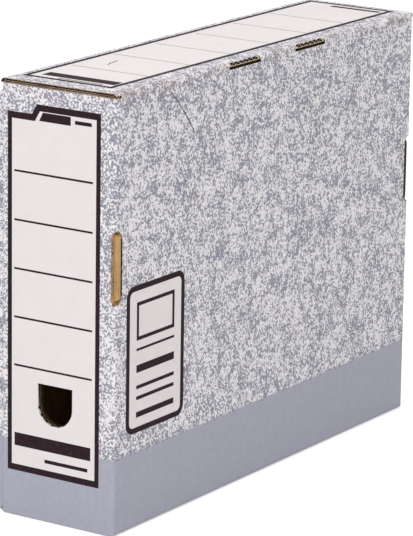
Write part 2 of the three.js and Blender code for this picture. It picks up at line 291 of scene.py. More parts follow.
class BoxFileLabels(bpy.types.PropertyGroup):
    """Sizes of the printed panels, measured from the rolled edge, the foot or the front."""

    spine_left: length_of("Spine label left", "From the rolled edge to the label's border", 5.0 * MM)
    spine_right: length_of(
        "Spine label right", "From the rolled edge to the far side of the border", 71.1 * MM
    )
    spine_bottom: length_of("Spine label bottom", "Height of the border's lower edge", 28.0 * MM)
    spine_top: length_of("Spine label top", "Height of the border's lower, left part", 245.0 * MM)
    index_tab: length_of("Index tab", "How far the border steps up at the right", 6.2 * MM)
    border: length_of("Border", "Width of the spine label's upright borders", 3.0 * MM)
    border_level: length_of("Level border", "Width of its upper and lower borders", 3.9 * MM)
    rule: length_of("Rule", "Width of a ruled line", 1.2 * MM)
    rule_top: length_of("First rule", "Height of the highest ruled line", 209.6 * MM)
    rule_pitch: length_of("Rule pitch", "Distance between ruled lines", 29.3 * MM)
    rules: IntProperty(name="Rules", description="Number of ruled lines", default=5, min=0)
    sign_front: length_of("Sign front", "From the spine to the side panel's sign", 11.5 * MM)
    sign_rear: length_of("Sign rear", "From the spine to the sign's far edge", 71.0 * MM)
    sign_bottom: length_of("Sign bottom", "Height of its lower edge", 58.5 * MM)
    sign_top: length_of("Sign top", "Height of its upper edge", 147.8 * MM)
    sign_corner: length_of("Sign corner", "Radius of its corners", 7.0 * MM)
    sign_border: length_of("Sign border", "Width of its border", 3.4 * MM)
    top_front: length_of("Top label front", "From the front edge to the top label", 12.2 * MM)
    top_rear: length_of("Top label rear", "From the front edge to the label's far end", 325.5 * MM)
    top_left: length_of("Top label left", "From the rolled edge", 6.2 * MM)
    top_right: length_of("Top label right", "From the rolled edge", 69.8 * MM)


class BoxFileFinish(bpy.types.PropertyGroup):
    """Colours of the board and of its print."""

    paper: colour_of("Paper", "White liner", (0.80, 0.79, 0.80))
    fleck: colour_of("Fleck", "Printed flecks", (0.238, 0.234, 0.292))
    band: colour_of("Band", "Grey foot", (0.366, 0.368, 0.437))
    label: colour_of("Label", "Label ground", (0.757, 0.709, 0.710))
    ink: colour_of("Ink", "Borders and rules", (0.019, 0.008, 0.012))
    kraft: colour_of("Kraft", "Brown liner", (0.50, 0.31, 0.14))
    band_height: length_of("Band height", "Top of the grey foot", 46.5 * MM)
    flute_pitch: length_of("Flute pitch", "Length of one flute", 4.9 * MM)


class BoxFileStage(bpy.types.PropertyGroup):
    """The photograph's view and the studio's light."""

    azimuth: FloatProperty(
        name="Azimuth",
        description="Turn of the camera from the spine's normal",
        subtype="ANGLE",
        default=math.radians(33.579),
    )
    elevation: FloatProperty(
        name="Elevation",
        description="Rise of the camera",
        subtype="ANGLE",
        default=math.radians(14.455),
    )
    roll: FloatProperty(
        name="Roll", description="Tilt of the picture", subtype="ANGLE", default=math.radians(0.857)
    )
    distance: length_of("Distance", "From the camera to its target", 2.1551)
    lens: FloatProperty(name="Lens", description="Focal length in mm", default=233.66)
    key: FloatProperty(
        name="Key light", description="Power of the main lamp in watts", default=12.0
    )
    sky: FloatProperty(name="Sky", description="Strength of the room's light", default=0.62)


def settings():
    """The labels' sizes and the board's colours, as the panel shows them."""
    return bpy.context.scene.box_file_labels, bpy.context.scene.box_file_finish


def shader(name, roughness, specular=0.3):
    """A material with its principled shader, node tree and links."""
    material = bpy.data.materials.new(name)
    material.use_nodes = True
    tree = material.node_tree
    surface = tree.nodes["Principled BSDF"]
    surface.inputs["Roughness"].default_value = roughness
    surface.inputs["Specular IOR Level"].default_value = specular
    return material, tree, surface


def node(tree, kind, **values):
    """A new shader node with its settings."""
    made = tree.nodes.new(kind)
    for key, value in values.items():
        setattr(made, key, value)
    return made


def place(tree):
    """The object's own coordinates in metres."""
    return node(tree, "ShaderNodeTexCoord").outputs["Object"]


def parts_of(tree, where):
    """The X, Y and Z of a place, as a node's outputs."""
    made = node(tree, "ShaderNodeSeparateXYZ")
    tree.links.new(where, made.inputs["Vector"])
    return made.outputs


def noise_of(tree, where, scale, detail, roughness=0.5):
    """Cloudy noise about a half, with its scale per metre."""
    made = node(tree, "ShaderNodeTexNoise")
    tree.links.new(where, made.inputs["Vector"])
    made.inputs["Scale"].default_value = scale
    made.inputs["Detail"].default_value = detail
    made.inputs["Roughness"].default_value = roughness
    return made.outputs["Fac"]


def steps(tree, factor, low, high):
    """A factor spread from 0 at low to 1 at high."""
    made = node(tree, "ShaderNodeMapRange")
    tree.links.new(factor, made.inputs["Value"])
    made.inputs["From Min"].default_value = low
    made.inputs["From Max"].default_value = high
    return made.outputs["Result"]


def calculate(tree, operation, first, second):
    """One sum on two factors or numbers."""
    made = node(tree, "ShaderNodeMath", operation=operation)
    for socket, value in zip(made.inputs, (first, second)):
        if isinstance(value, (int, float)):
            socket.default_value = value
        else:
            tree.links.new(value, socket)
    return made.outputs[0]


def mixed(tree, factor, first, second):
    """Two colours mixed, from the first at 0 to the second at 1."""
    made = node(tree, "ShaderNodeMix", data_type="RGBA")
    if isinstance(factor, (int, float)):
        made.inputs["Factor"].default_value = factor
    else:
        tree.links.new(factor, made.inputs["Factor"])
    for name, value in (("A", first), ("B", second)):
        socket = [s for s in made.inputs if s.name == name and s.type == "RGBA"][0]
        if isinstance(value, bpy.types.NodeSocket):
            tree.links.new(value, socket)
        else:
            socket.default_value = (*value[:3], 1)
    return [s for s in made.outputs if s.type == "RGBA"][0]


def paint(tree, surface, colour):
    """The colour of a finish."""
    tree.links.new(colour, surface.inputs["Base Color"])


def bumped(tree, surface, height, distance):
    """Relief on a finish, from a height factor."""
    made = node(tree, "ShaderNodeBump")
    made.inputs["Distance"].default_value = distance
    tree.links.new(height, made.inputs["Height"])
    tree.links.new(made.outputs["Normal"], surface.inputs["Normal"])


def product(tree, *factors):
    """Several factors multiplied."""
    total = factors[0]
    for factor in factors[1:]:
        total = calculate(tree, "MULTIPLY", total, factor)
    return total


def total_of(tree, *terms):
    """Several terms added."""
    total = terms[0]
    for term in terms[1:]:
        total = calculate(tree, "ADD", total, term)
    return total


def swing(tree, noise, reach):
    """A noise that swings about zero."""
    return product(tree, calculate(tree, "SUBTRACT", noise, 0.5), reach)


def washboard(tree, where, finish):
    """Soft ribs across the flutes, which run up the walls and across the top."""
    parts = parts_of(tree, where)
    turn = product(tree, parts["Y"], 2 * math.pi / finish.flute_pitch)
    return calculate(tree, "SINE", turn, 0)


def speckle_colour(tree, where, fine, finish):
    """Clumped grey flecks on white liner with a rosy tint in places."""
    clump = swing(tree, noise_of(tree, where, *CLUMP_GRAIN), CLUMP_SHARE)
    cloud = swing(tree, noise_of(tree, where, *CLOUD_GRAIN), CLOUD_SHARE)
    flecks = steps(tree, total_of(tree, fine, clump, cloud), FLECK_FROM, FLECK_TO)
    tint = steps(tree, noise_of(tree, where, 420, 1.0), 0.42, 0.58)
    rosy = (finish.paper[0], finish.paper[1] * 0.95, finish.paper[2] * 0.97)
    liner = mixed(tree, tint, finish.paper, rosy)
    return mixed(tree, product(tree, flecks, FLECK_COVER), liner, finish.fleck)


def band_colour(tree, where, finish):
    """The grey foot, slightly mottled."""
    mottle = steps(tree, noise_of(tree, where, 320, 3.0), 0.35, 0.65)
    pale_band = tuple(min(1.0, c * 1.07) for c in finish.band)
    return mixed(tree, mottle, finish.band, pale_band)


def above_band(tree, height, fine, finish):
    """Whether the print is above the foot, whose edge wanders as dabbed ink does."""
    ragged = total_of(tree, height, swing(tree, fine, BAND_WANDER))
    return steps(tree, ragged, finish.band_height - BAND_BLUR, finish.band_height + BAND_BLUR)


def rubbed_fold(tree, where, near_fold):
    """Brown rubbing where the long top fold is handled."""
    blotch = steps(tree, noise_of(tree, where, 48, 3.0, 0.6), 0.46, 0.58)
    grit = steps(tree, noise_of(tree, where, 700, 2.0), 0.44, 0.58)
    return product(tree, near_fold, blotch, grit, WEAR_COVER)


def cracked_score(tree, where, from_top, near_fold):
    """The scored line under that fold, where the print has cracked."""
    away = calculate(tree, "ABSOLUTE", calculate(tree, "SUBTRACT", from_top, SCORE_DROP), 0)
    on_score = steps(tree, away, SCORE_EDGE, SCORE_CORE)
    broken = steps(tree, noise_of(tree, where, 150, 3.0, 0.7), 0.47, 0.56)
    return product(tree, on_score, near_fold, broken, WEAR_COVER)


def board_relief(tree, where, near_fold, finish):
    """Faint ribs, the paper's tooth, and dents along the worn fold."""
    ribs = product(tree, washboard(tree, where, finish), RIB_SHARE)
    tooth = noise_of(tree, where, *PAPER_TOOTH)
    lumps = product(tree, noise_of(tree, where, 130, 3.0, 0.6), near_fold, DENT_SHARE)
    return total_of(tree, ribs, tooth, lumps)


def printed_board():
    """White liner with a clumped fleck print, a grey foot, rubbed folds and faint ribs."""
    _, finish = settings()
    material, tree, surface = shader("printed_board", 0.78)
    where = place(tree)
    parts = parts_of(tree, where)
    fine = noise_of(tree, where, *FINE_GRAIN)
    above = above_band(tree, parts["Z"], fine, finish)
    speckle = speckle_colour(tree, where, fine, finish)
    colour = mixed(tree, above, band_colour(tree, where, finish), speckle)
    from_top = calculate(tree, "SUBTRACT", TOP_Z, parts["Z"])
    from_side = calculate(tree, "SUBTRACT", SIDE_X, parts["X"])
    fold = calculate(tree, "MAXIMUM", from_top, from_side)
    near_fold = steps(tree, fold, FOLD_CLEAN, FOLD_WORN)
    colour = mixed(tree, rubbed_fold(tree, where, near_fold), colour, RUBBED_BROWN)
    cracked = cracked_score(tree, where, from_top, near_fold)
    colour = mixed(tree, cracked, colour, CRACKED_BROWN)
    paint(tree, surface, colour)
    bumped(tree, surface, board_relief(tree, where, near_fold, finish), PRINT_RELIEF)
    return material


def kraft_board():
    """Brown liner: long fibres, darker specks and a dull face."""
    _, finish = settings()
    material, tree, surface = shader("kraft_board", 0.88, 0.2)
    where = place(tree)
    stretched = node(tree, "ShaderNodeMapping")
    stretched.inputs["Scale"].default_value = (1, 1, 0.15)
    tree.links.new(where, stretched.inputs["Vector"])
    fibre = noise_of(tree, stretched.outputs["Vector"], 1400, 3.0, 0.6)
    cloud = noise_of(tree, where, 120, 2.0)
    level = total_of(tree, product(tree, fibre, 0.6), product(tree, cloud, 0.4))
    dark = tuple(c * 0.78 for c in finish.kraft)
    pale = tuple(min(1.0, c * 1.18) for c in finish.kraft)
    colour = mixed(tree, steps(tree, level, 0.36, 0.64), dark, pale)
    paint(tree, surface, colour)
    bumped(tree, surface, fibre, 0.06 * MM)
    return material


def painted_shade():
    """Painted shade: a near-black colour for the shadowed hollow between the liners at a raw edge, also
    laid on tabs, cut faces and gaps that lie in shade.
    """
    material, tree, surface = shader("painted_shade", 0.95, 0.1)
    where = place(tree)
    dust = steps(tree, noise_of(tree, where, 700, 2.0), 0.4, 0.7)
    colour = mixed(tree, dust, (0.016, 0.008, 0.005), (0.070, 0.038, 0.020))
    paint(tree, surface, colour)
    return material


def liner_edge():
    """The torn pale edge of a liner."""
    material, tree, surface = shader("liner_edge", 0.9, 0.2)
    where = place(tree)
    fibre = noise_of(tree, where, 900, 3.0, 0.6)
    pale = mixed(tree, steps(tree, fibre, 0.35, 0.65), (0.46, 0.33, 0.21), (0.80, 0.71, 0.56))
    along = calculate(tree, "ABSOLUTE", parts_of(tree, where)["Y"], 0)
    at_ends = steps(tree, along, STAIN_START, STAIN_FULL)
    patchy = steps(tree, noise_of(tree, where, 110, 2.0), 0.30, 0.62)
    stained = product(tree, at_ends, steps(tree, patchy, -0.6, 1))
    colour = mixed(tree, stained, pale, STAIN_BROWN)
    paint(tree, surface, colour)
    bumped(tree, surface, fibre, 0.05 * MM)
    return material


def label_ground():
    """Unprinted warm white liner inside the borders, with faint grey dust."""
    _, finish = settings()
    material, tree, surface = shader("label_ground", 0.72)
    where = place(tree)
    dust = steps(tree, noise_of(tree, where, 90, 3.0), 0.35, 0.75)
    duller = tuple(c * 0.965 for c in finish.label)
    paint(tree, surface, mixed(tree, dust, finish.label, duller))
    tooth = noise_of(tree, where, *PAPER_TOOTH)
    bumped(tree, surface, tooth, 0.03 * MM)
    return material


def border_ink():
    """Flat black-brown print with a slightly broken cover."""
    _, finish = settings()
    material, tree, surface = shader("border_ink", 0.7, 0.14)
    where = place(tree)
    worn = steps(tree, noise_of(tree, where, 1100, 2.0), 0.55, 0.80)
    paler = tuple(c * 2.6 + 0.01 for c in finish.ink)
    paint(tree, surface, mixed(tree, worn, finish.ink, paler))
    return material


def grey_rule():
    """Thin grey print of the top's cross lines."""
    material, tree, surface = shader("grey_rule", 0.7)
    where = place(tree)
    worn = steps(tree, noise_of(tree, where, 800, 2.0), 0.4, 0.7)
    colour = mixed(tree, worn, (0.22, 0.22, 0.23), (0.36, 0.36, 0.36))
    paint(tree, surface, colour)
    return material


def raw_edge():
    """Cut board: torn tan paper with shadowed hollows."""
    material, tree, surface = shader("raw_edge", 0.92, 0.15)
    where = place(tree)
    fibre = steps(tree, noise_of(tree, where, 650, 3.0, 0.6), 0.38, 0.60)
    colour = mixed(tree, fibre, (0.16, 0.095, 0.045), (0.50, 0.36, 0.21))
    paint(tree, surface, colour)
    bumped(tree, surface, fibre, 0.08 * MM)
    return material


def scratch_mark():
    """A thin brown scratch through the print."""
    material, tree, surface = shader("scratch_mark", 0.9, 0.1)
    where = place(tree)
    worn = steps(tree, noise_of(tree, where, 300, 2.0), 0.40, 0.62)
    colour = mixed(tree, worn, (0.03, 0.02, 0.02), (0.12, 0.10, 0.10))
    paint(tree, surface, colour)
    return material


def finish_of(maker):
    """Each finish is made once, under its maker's name."""
    return bpy.data.materials.get(maker.__name__) or maker()


class Panel:
    """A flat face of the box: a corner, its two directions and its outward normal."""

    def __init__(self, corner, across, up, normal):
        self.corner = Vector(corner)
        self.across = Vector(across)
        self.up = Vector(up)
        self.normal = Vector(normal)

    def at(self, u, v, height=0.0):
        """The point that lies u across and v up, at a height off the face."""
        return self.corner + self.across * u + self.up * v + self.normal * height


SPINE = Panel((ROLL_X, FRONT_Y, 0), (1, 0, 0), (0, 0, 1), (0, -1, 0))
SIDE = Panel((SIDE_X, FRONT_Y, 0), (0, 1, 0), (0, 0, 1), (1, 0, 0))
TOP = Panel((ROLL_X, FRONT_Y, TOP_Z), (1, 0, 0), (0, 1, 0), (0, 0, 1))


def box_outline(u0, v0, u1, v1):
    """A rectangle between two corners."""
    return [(u0, v0), (u1, v0), (u1, v1), (u0, v1)]


def circle_outline(middle_u, middle_v, radius, count):
    """A circle as a ring of points."""
    turns = [2 * math.pi * i / count for i in range(count)]
    return [(middle_u + radius * math.cos(t), middle_v + radius * math.sin(t)) for t in turns]


def round_outline(u0, v0, u1, v1, radius, segments=8):
    """A rectangle with rounded corners."""
    points = []
    corners = ((u1, v0, -90), (u1, v1, 0), (u0, v1, 90), (u0, v0, 180))
    for u, v, start in corners:
        centre_u = u - radius if u == u1 else u + radius
        centre_v = v - radius if v == v1 else v + radius
        for i in range(segments + 1):
            angle = math.radians(start + 90 * i / segments)
            points.append((centre_u + radius * math.cos(angle), centre_v + radius * math.sin(angle)))
    return points


def thumb_outline(middle_u, spare=0.0):
    """The thumb hole's outline in the spine's own directions."""
    half = THUMB_HALF + spare
    points = [(middle_u + half, THUMB_TOP + spare), (middle_u - half, THUMB_TOP + spare)]
    for i in range(THUMB_STEPS + 1):
        angle = math.pi + math.pi * i / THUMB_STEPS
        points.append((middle_u + half * math.cos(angle), THUMB_CENTRE + half * math.sin(angle)))
    return points


def add_plate(bm, panel, outline, high, slot=0, holes=()):
    """A thin closed plate on a panel, with holes where given."""
    loops = [list(outline), *[list(h) for h in holes]]
    flat = [p for loop in loops for p in loop]
    tops = [bm.verts.new(panel.at(u, v, high)) for u, v in flat]
    feet = [bm.verts.new(panel.at(u, v, SUNK)) for u, v in flat]
    spread = [[Vector((u, v, 0)) for u, v in loop] for loop in loops]
    for a, b, c in tessellate_polygon(spread):
        for ring in ((tops[a], tops[b], tops[c]), (feet[c], feet[b], feet[a])):
            bm.faces.new(ring).material_index = slot
    start = 0
    for loop in loops:
        count = len(loop)
        for i in range(count):
            a, b = start + i, start + (i + 1) % count
            bm.faces.new((tops[a], tops[b], feet[b], feet[a])).material_index = slot
        start += count


def add_eye(bm, panel, middle, radii, count):
    """A pale disc with a dark one on it, as a flute looks end on; the dark disc is painted shade inside
    the flute.
    """
    for radius, slot, high in ((radii[0], 1, INK_HIGH), (radii[1], 0, EDGE_HIGH)):
        add_plate(bm, panel, circle_outline(*middle, radius, count), high, slot)


def add_ring(bm, panel, outer, inner, high, slot=0):
    """A thin closed frame between two outlines with as many points."""
    count = len(outer)
    rings = [
        [bm.verts.new(panel.at(u, v, height)) for u, v in outline]
        for outline, height in ((outer, SUNK), (outer, high), (inner, high), (inner, SUNK))
    ]
    for first, second in zip(rings, rings[1:] + rings[:1]):
        for i in range(count):
            j = (i + 1) % count
            bm.faces.new((first[i], first[j], second[j], second[i])).material_index = slot


def add_band(bm, points, normal, depths, across, high):
    """A strip that follows points on a face, between two depths across it."""
    rows = []
    for point in points:
        row = []
        for depth in depths:
            foot = point + across * depth
            row.append((bm.verts.new(foot + normal * SUNK), bm.verts.new(foot + normal * high)))
        rows.append(row)
    for first, second in zip(rows, rows[1:]):
        (a0, a1), (b0, b1) = first
        (c0, c1), (d0, d1) = second
        for ring in ((a1, b1, d1, c1), (a0, c0, d0, b0), (a0, a1, c1, c0), (b0, d0, d1, b1)):
            bm.faces.new(ring)
    for row, flip in ((rows[0], False), (rows[-1], True)):
        (a0, a1), (b0, b1) = row
        ring = (a0, b0, b1, a1)
        bm.faces.new(ring[::-1] if flip else ring)


def add_fringe(bm, start, along, length, across, normal, depth, seed):
    """A torn paper edge: a thin strip whose depth into the board wanders."""
    draw = random.Random(seed)
    count = max(2, round(length / FRINGE_STEP))
    points = []
    for i in range(count + 1):
        wander = draw.uniform(-0.5, 0.5) * FRINGE_WANDER
        points.append(start + along * (length * i / count) + across * (depth + wander))
    add_band(bm, points, normal, (0, FRINGE_WIDE), across, EDGE_HIGH)


def finished(name, bm, makers, body):
    """The mesh as an object that rides on its body."""
    bmesh.ops.recalc_face_normals(bm, faces=bm.faces)
    mesh = bpy.data.meshes.new(name)
    bm.to_mesh(mesh)
    bm.free()
    for maker in makers:
        mesh.materials.append(finish_of(maker))
    piece = bpy.data.objects.new(name, mesh)
    bpy.context.collection.objects.link(piece)
    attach(piece, body)
    return piece


# The dressed faces' finishes; the fourth is painted shade, a near-black colour where hollows, slots and
# gaps lie in shadow.
PRINT, KRAFT, CUT, SHADE_PAINT, EDGE = range(5)
FACE_FINISHES = (printed_board, kraft_board, raw_edge, painted_shade, liner_edge)


def close_to(value, *places):
    """Whether a value is at one of the given places."""
    return any(abs(value - spot) < NEAR for spot in places)


def roll_finish(first, second, centre_first, centre_second):
    """Outside or inside of a rolled edge, by the distance from its axis."""
    away = math.hypot(first - centre_first, second - centre_second)
    return PRINT if away > BOARD / 2 else KRAFT


def in_end_wall(c):
    """Whether a place is in the outer layer of the spine or the rear wall."""
    return abs(c.y) > REAR_Y - BOARD - PLY_GAP / 2 - NEAR


def outer_face(c, n):
    """Print on the flat outer faces and round the upright folds."""
    side = n.x > FLAT and close_to(c.x, SIDE_X)
    wall = abs(n.y) > FLAT and close_to(abs(c.y), REAR_Y) and c.z < WALL_TOP_Z
    top = n.z > FLAT and close_to(c.z, TOP_Z)
    bent = abs(n.z) < UPRIGHT and min(abs(n.x), abs(n.y)) > BENT
    fold = bent and c.x > SIDE_X - BOARD and abs(c.y) > REAR_Y - BOARD
    return PRINT if side or wall or top or fold else None


def crease_face(c, n):
    """Kraft on the slope where the lid's crease opens."""
    return KRAFT if c.z < BOARD and n.x < -0.5 and n.z > 0.5 else None


def corner_slot_face(c, n):
    """The tabs and cut edges seen through the two upright slots, with painted shade on the side's cut
    faces and on the tab in the far slot.
    """
    at_height = CORNER_SLOT_LOW - NEAR < c.z < CORNER_SLOT_HIGH + NEAR
    at_corner = c.x > SIDE_X - 2 * BOARD and abs(c.y) > ROLLED_Y - BOARD
    if not (at_height and at_corner) or n.x < -FLAT:
        return None
    side_cut = abs(n.y) > FLAT and close_to(abs(c.y), REAR_Y - CORNER_SLOT_ON_SIDE)
    far_tab = c.y > 0 and n.x > 0.5
    # Painted shade: the side's cut faces and the far tab take the near-black finish for the shadow in
    # the slots.
    if side_cut or far_tab:
        return SHADE_PAINT
    wall_cut = n.x > FLAT and close_to(c.x, SIDE_X - CORNER_SLOT_ON_WALL)
    foot_cut = c.z < CORNER_SLOT_LOW + BOARD and n.z > 0.3
    return CUT if wall_cut or foot_cut else KRAFT


def thumb_hole_face(c, n):
    """Shadowed flutes round the thumb hole, in both layers of the spine."""
    in_hole = abs(c.x) < THUMB_HALF + NEAR and THUMB_LOW - NEAR < c.z < THUMB_TOP + NEAR
    return SHADE_PAINT if in_hole and c.y < -ROLLED_Y - NEAR and abs(n.y) < 0.5 else None


def top_end_face(c, n):
    """The top's raw front and rear edges: pale liners, and painted shade in the hollows between them
    and on the cut ends of the rolls.
    """
    at_end = c.z > TOP_Z - BOARD and abs(c.y) > REAR_Y - CUT_DEPTH - NEAR
    if not at_end or abs(n.x) >= FLAT:
        return None
    if abs(n.y) > FLAT:
        between_rolls = ROLL_AXIS_X <= c.x <= SIDE_X - BOARD
        return EDGE if between_rolls and close_to(abs(c.y), REAR_Y) else SHADE_PAINT
    between_liners = LINER - NEAR < TOP_Z - c.z < BOARD - LINER + NEAR
    return SHADE_PAINT if abs(n.z) > FLAT and between_liners else None


def top_slot_face(c, n):
    """The crushed tabs and cut flutes in the two slots of the long top fold: pale liner on the cut,
    painted shade on the rest.
    """
    at_fold = c.x > SIDE_X - BOARD - PLY_GAP - NEAR and c.z > TOP_Z - 2 * BOARD
    reach = (TOP_SLOT_PITCH + TOP_SLOT_LENGTH) / 2 + NEAR
    if not at_fold or abs(c.y - TOP_SLOT_MIDDLE) >= reach:
        return None
    if n.x > FLAT and close_to(c.x, SIDE_X - TOP_SLOT_SETBACK):
        return EDGE
    on_roll = min(n.x, n.z) > BENT and abs(n.y) < UPRIGHT
    # Painted shade on the tabs and flutes that lie in the slots.
    return None if on_roll else SHADE_PAINT


def level_face(c, n):
    """Faces that look straight up or down."""
    if abs(n.z) <= FLAT:
        return None
    if n.z > 0:
        inside = close_to(c.z, BOARD, WALL_TOP_Z) and not in_end_wall(c)
        return KRAFT if inside else CUT
    if close_to(c.z, TOP_INSIDE_Z) or (close_to(c.z, 0) and not in_end_wall(c)):
        return PRINT
    return KRAFT if close_to(c.z, TOP_Z - BOARD) else CUT


def side_face(c, n):
    """Faces that look along X, apart from the outer side."""
    if abs(n.x) <= FLAT:
        return None
    if n.x < 0 and close_to(c.x, ROLL_X):
        return PRINT
    return KRAFT if n.x < 0 and close_to(c.x, SIDE_X - BOARD) else CUT


def end_face(c, n):
    """Faces that look along Y, apart from the outer walls."""
    if abs(n.y) <= FLAT:
        return None
    outward = n.y * c.y > 0
    crease_end = c.z < BOARD and c.x < ROLL_X + BOARD
    if (outward and crease_end) or (not outward and close_to(abs(c.y), ROLLED_Y)):
        return PRINT
    return KRAFT if close_to(abs(c.y), ROLLED_Y + BOARD, REAR_Y - BOARD) else CUT


def upright_roll_face(c, n):
    """Rolled and folded faces that stand upright."""
    if abs(n.z) >= UPRIGHT:
        return None
    if c.x > SIDE_X - BOARD - NEAR:
        return PRINT
    return roll_finish(c.x, abs(c.y), ROLL_AXIS_X, REAR_Y - BOARD - PLY_GAP / 2)


def long_roll_face(c, n):
    """Rolled and folded faces that run along the box."""
    if abs(n.y) >= UPRIGHT:
        return None
    in_spine = c.y < FRONT_Y + 3 * BOARD
    hole_cut = in_spine and abs(c.x) < THUMB_HALF + NEAR and c.z < THUMB_TOP + NEAR
    roll_end = in_end_wall(c) and c.z < WALL_TOP_Z and c.x < ROLL_X + BOARD
    if hole_cut or roll_end:
        return CUT
    if c.x < 0 and c.z > TOP_INSIDE_Z:
        return roll_finish(c.x, c.z, ROLL_AXIS_X, TOP_Z - BOARD - PLY_GAP / 2)
    return PRINT


TRAY_RULES = (
    outer_face,
    crease_face,
    corner_slot_face,
    thumb_hole_face,
    top_end_face,
    top_slot_face,
    level_face,
    side_face,
    end_face,
    upright_roll_face,
    long_roll_face,
)


def tray_finish(c, n):
    """The finish of one of the tray's faces, by the first rule that knows it."""
    for rule in TRAY_RULES:
        finish = rule(c, n)
        if finish is not None:
            return finish
    return CUT


def lid_finish(c, n):
    """Print on the outside and on the tuck flap, kraft inside, cut at the ends, and painted shade in
    the channels between the liners at the ends.
    """
    if abs(n.y) > FLAT and abs(c.x - LID_X) < BOARD + NEAR:
        # Painted shade on the channel's end walls, print at the very ends.
        return PRINT if abs(c.y) > REAR_Y - LID_END_INSET - NEAR else SHADE_PAINT
    if c.x > LID_X + 2 * BOARD and (abs(n.y) > BENT or n.x > FLAT):
        return EDGE if abs(n.x) > 0.5 and close_to(c.x, LID_X + TUCK_DEPTH) else CUT
    if abs(n.x) > FLAT and close_to(c.x, LID_X + LINER, LID_X + BOARD - LINER):
        # Painted shade on the channel's floors between the liners.
        return SHADE_PAINT
    mitre = c.z < BOARD and n.x > 0.5 and n.z < -0.5
    inside = n.x > FLAT or n.z < -FLAT or mitre
    return KRAFT if inside else PRINT


def dressed_copy(name, source, chooser):
    """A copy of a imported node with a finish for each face, which stands for that node."""
    bm = bmesh.new()
    bm.from_mesh(source.data)
    bmesh.ops.remove_doubles(bm, verts=bm.verts, dist=WELD)
    bm.normal_update()
    for face in bm.faces:
        face.material_index = chooser(face.calc_center_median(), face.normal)
        face.smooth = True
    bmesh.ops.dissolve_limit(
        bm,
        angle_limit=FLAT_ANGLE,
        verts=bm.verts,
        edges=bm.edges,
        delimit={"MATERIAL"},
    )
    for edge in bm.edges:
        edge.smooth = edge.calc_face_angle(math.pi) < SMOOTH_ANGLE
    mesh = bpy.data.meshes.new(name)
    bm.to_mesh(mesh)
    bm.free()
    for maker in FACE_FINISHES:
        mesh.materials.append(finish_of(maker))
    piece = bpy.data.objects.new(name, mesh)
    bpy.context.collection.objects.link(piece)
    weighted = piece.modifiers.new("flat_faces", "WEIGHTED_NORMAL")
    weighted.keep_sharp = True
    weighted.weight = 100
    body = source.name
    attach(piece, body)
    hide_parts(source.name)
    return piece


class BOXFILE_OT_tray(bpy.types.Operator):
    """Dress the folded tray in print, kraft and cut edges"""

    bl_idname = "box_file.tray"
    bl_label = "Dress the tray"

    def execute(self, context):
        dressed_copy("tray_dressed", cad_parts[TRAY], tray_finish)
        return {"FINISHED"}


class BOXFILE_OT_lid(bpy.types.Operator):
    """Dress the side lid and its tuck flap"""

    bl_idname = "box_file.lid"
    bl_label = "Dress the lid"

    def execute(self, context):
        dressed_copy("lid_dressed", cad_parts[LID], lid_finish)
        return {"FINISHED"}


class BOXFILE_OT_lid_ends(bpy.types.Operator):
    """Press the liners together over the cut ends of the lid, as the die leaves them"""

    bl_idname = "box_file.lid_ends"
    bl_label = "Press the lid's ends"

    def execute(self, context):
        bm = bmesh.new()
        step = Vector((0, 0, (TOP_Z - PRESSED_BELOW_TOP - PRESSED_FROM) / PRESSED_STEPS))
        across = Vector((1, 0, 0))
        for outward in (-1, 1):
            foot = Vector((LID_X, outward * (REAR_Y - LID_END_INSET), PRESSED_FROM))
            points = [foot + step * i for i in range(PRESSED_STEPS + 1)]
            normal = Vector((0, outward, 0))
            add_band(bm, points, normal, (PRESSED_INSET, BOARD - PRESSED_INSET), across, EDGE_HIGH)
        finished("lid_pressed_ends", bm, (printed_board,), LID)
        return {"FINISHED"}


class BOXFILE_OT_slot_ends(bpy.types.Operator):
    """Round the corner slots' ends on the narrow walls, and show the flutes cut at the foot as teeth of
    painted shade
    """

    bl_idname = "box_file.slot_ends"
    bl_label = "Round the corner slots"

    def execute(self, context):
        bm = bmesh.new()
        for outward in (-1, 1):
            wall = self.wall(outward)
            for end, towards in ((CORNER_SLOT_LOW, 1), (CORNER_SLOT_HIGH, -1)):
                add_plate(bm, wall, self.rounding(end, towards), EDGE_HIGH)
        # Painted shade: dark teeth for the shadow in the gap below the near slot's tab.
        foot = CORNER_SLOT_LOW
        for u in FOOT_TEETH:
            tooth = [(u, foot), (u + TOOTH_WIDE, foot), (u + TOOTH_TIP, foot + TOOTH_HIGH)]
            add_plate(bm, self.wall(-1), tooth, EDGE_HIGH, 1)
        finished("slot_ends", bm, (printed_board, painted_shade), TRAY)
        return {"FINISHED"}

    def wall(self, outward):
        """A narrow wall, measured from the large side."""
        return Panel((SIDE_X, outward * REAR_Y, 0), (-1, 0, 0), (0, 0, 1), (0, outward, 0))

    def rounding(self, end, towards):
        """The corner of board that is left between a slot's square end and its round one."""
        wide = CORNER_SLOT_ON_WALL + SLOT_END_LAP
        outline = [(wide, end - SLOT_END_LAP * towards)]
        for i in range(SLOT_END_STEPS + 1):
            angle = math.pi / 2 * i / SLOT_END_STEPS
            u = SLOT_END_WIDE * (1 - math.sin(angle))
            v = SLOT_END_HIGH * (1 - math.cos(angle))
            outline.append((wide - u, end + towards * v))
        return outline


